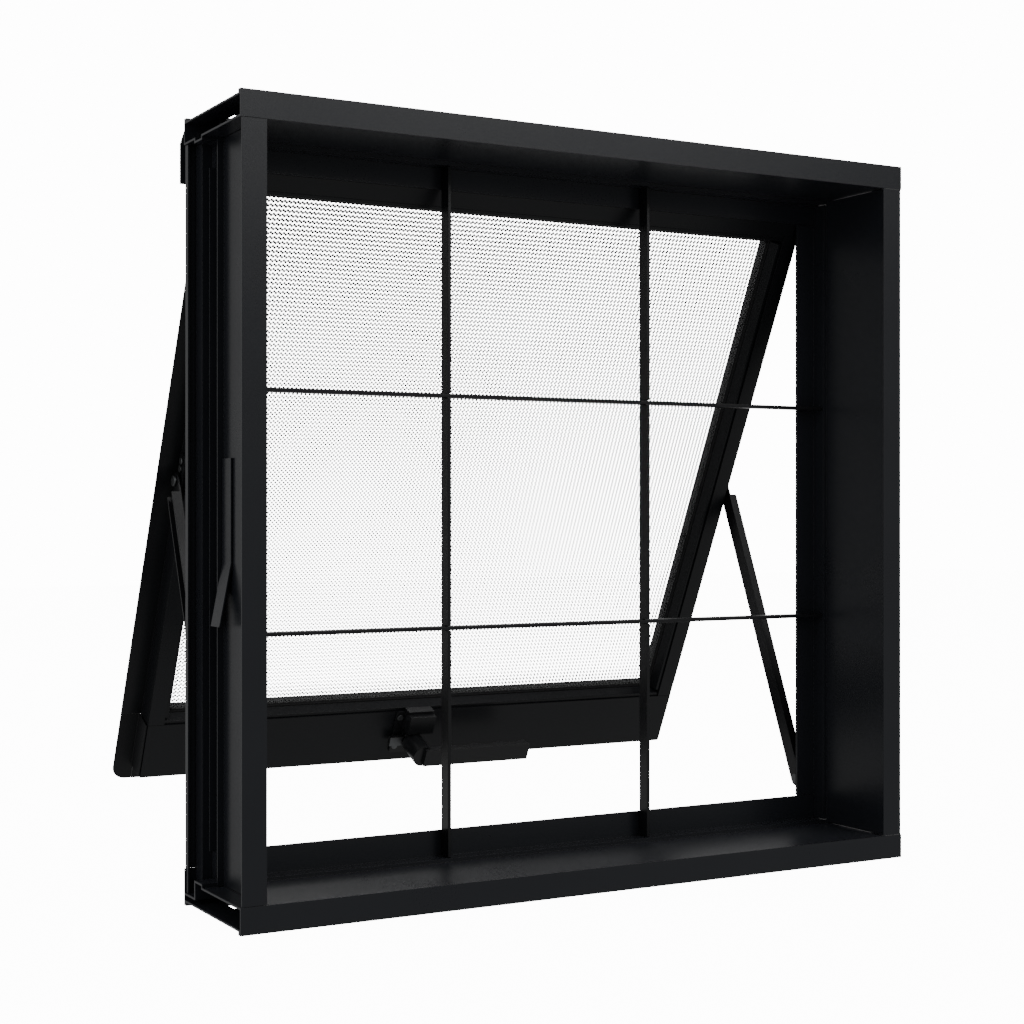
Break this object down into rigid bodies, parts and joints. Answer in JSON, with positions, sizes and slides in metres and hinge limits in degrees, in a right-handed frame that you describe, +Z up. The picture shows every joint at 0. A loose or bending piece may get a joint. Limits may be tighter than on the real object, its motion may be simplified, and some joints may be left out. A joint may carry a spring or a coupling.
{
  "type": "top hung window sash with lever latch",
  "caption": "Small top-hung projecting window: deep channel frame with a flat-bar grille inside, patterned glass sash on side stay arms, and a lever latch on the bottom rail.",
  "frame": {"origin": "middle of the underside of the sill's bottom plate, halfway through the frame's depth; the sill's feet reach 2.5 mm lower", "axes": "+X to the right seen from inside, +Y outwards, +Z up"},
  "size_m": [0.608, 0.3571, 0.6],
  "materials": {
    "frame_paint": "satin black powder coat on aluminium",
    "sash_paint": "satin black powder coat on aluminium",
    "grille_paint": "satin black powder coat on flat bar",
    "stay_paint": "satin black paint on pressed strip",
    "latch_paint": "semi-gloss black paint on die-cast metal",
    "nylon": "black moulded nylon, fine grain",
    "rubber": "matt black extruded rubber",
    "steel": "zinc-plated steel",
    "glass": "cast glass with a fine grid of raised dots"
  },
  "bodies": {
    "frame": {"head": "frame_paint", "sill": "frame_paint", "jamb_left": "frame_paint", "anchor_tab_left": "frame_paint", "frame_screw_upper_left": "steel", "frame_screw_lower_left": "steel", "grille_vertical_left": "grille_paint", "jamb_right": "frame_paint", "anchor_tab_right": "frame_paint", "frame_screw_upper_right": "steel", "frame_screw_lower_right": "steel", "grille_vertical_right": "grille_paint", "grille_horizontal_lower": "grille_paint", "grille_horizontal_upper": "grille_paint", "stop_seal_left": "rubber", "stop_seal_right": "rubber", "stop_seal_sill": "rubber"},
    "top_sliders": {"top_shoe_left": "nylon", "top_shoe_right": "nylon"},
    "stay_left": {"stay_arm_left": "stay_paint"},
    "stay_foot_left": {"stay_shoe_left": "nylon", "stay_pin_left": "steel"},
    "stay_right": {"stay_arm_right": "stay_paint"},
    "stay_foot_right": {"stay_shoe_right": "nylon", "stay_pin_right": "steel"},
    "sash": {"sash_top_rail": "sash_paint", "sash_bottom_rail": "sash_paint", "sash_stile_left": "sash_paint", "sash_corner_cap_left": "nylon", "sash_corner_cleat_left": "steel", "sash_stile_right": "sash_paint", "sash_corner_cap_right": "nylon", "sash_corner_cleat_right": "steel", "glass_pane": "glass", "glazing_gasket_inner": "rubber", "glazing_gasket_outer": "rubber", "glazing_bead_bottom": "sash_paint", "glazing_bead_top": "sash_paint", "glazing_bead_left": "sash_paint", "glazing_bead_right": "sash_paint", "pivot_washer_left": "nylon", "stay_bracket_left": "stay_paint", "stay_rivet_left": "steel", "bracket_screw_left_1": "steel", "bracket_screw_left_2": "steel", "pivot_washer_right": "nylon", "stay_bracket_right": "stay_paint", "stay_rivet_right": "steel", "bracket_screw_right_1": "steel", "bracket_screw_right_2": "steel", "latch_base": "latch_paint", "latch_screw_lower": "steel", "latch_screw_upper": "steel"},
    "latch": {"latch_lever": "latch_paint", "latch_spindle": "steel", "latch_tongue": "steel"}
  },
  "joints": [
    {"name": "top_slide", "type": "slide", "parent": "frame", "child": "top_sliders", "axis": [0, 0, 1], "range_m": [-0.004, 0.0115]},
    {"name": "sash_tilt", "type": "hinge", "parent": "top_sliders", "child": "sash", "pos_m": [0, 0.05, 0.5565], "axis": [1, 0, 0], "range_deg": [-25.3, 7.7]},
    {"name": "stay_turn_left", "type": "hinge", "parent": "sash", "child": "stay_left", "pos_m": [-0.276, 0.16222, 0.32307], "axis": [1, 0, 0], "range_deg": [-15, 48]},
    {"name": "stay_foot_turn_left", "type": "hinge", "parent": "stay_left", "child": "stay_foot_left", "pos_m": [-0.285, 0.05, 0.05404], "axis": [1, 0, 0], "range_deg": [-22.5, 7]},
    {"name": "stay_turn_right", "type": "hinge", "parent": "sash", "child": "stay_right", "pos_m": [0.276, 0.16222, 0.32307], "axis": [1, 0, 0], "range_deg": [-15, 48]},
    {"name": "stay_foot_turn_right", "type": "hinge", "parent": "stay_right", "child": "stay_foot_right", "pos_m": [0.285, 0.05, 0.05404], "axis": [1, 0, 0], "range_deg": [-22.5, 7]},
    {"name": "latch_turn", "type": "hinge", "parent": "sash", "child": "latch", "pos_m": [-0.017, 0.25974, 0.08822], "axis": [0, -0.9041, -0.4274], "range_deg": [0, 90]}
  ],
  "couplings": [
    {"joint": "top_slide", "follows": "sash_tilt", "m_per_rad": -0.024911},
    {"joint": "stay_turn_left", "follows": "sash_tilt", "ratio": -1.88},
    {"joint": "stay_foot_turn_left", "follows": "sash_tilt", "ratio": 0.88},
    {"joint": "stay_turn_right", "follows": "sash_tilt", "ratio": -1.88},
    {"joint": "stay_foot_turn_right", "follows": "sash_tilt", "ratio": 0.88}
  ]
}
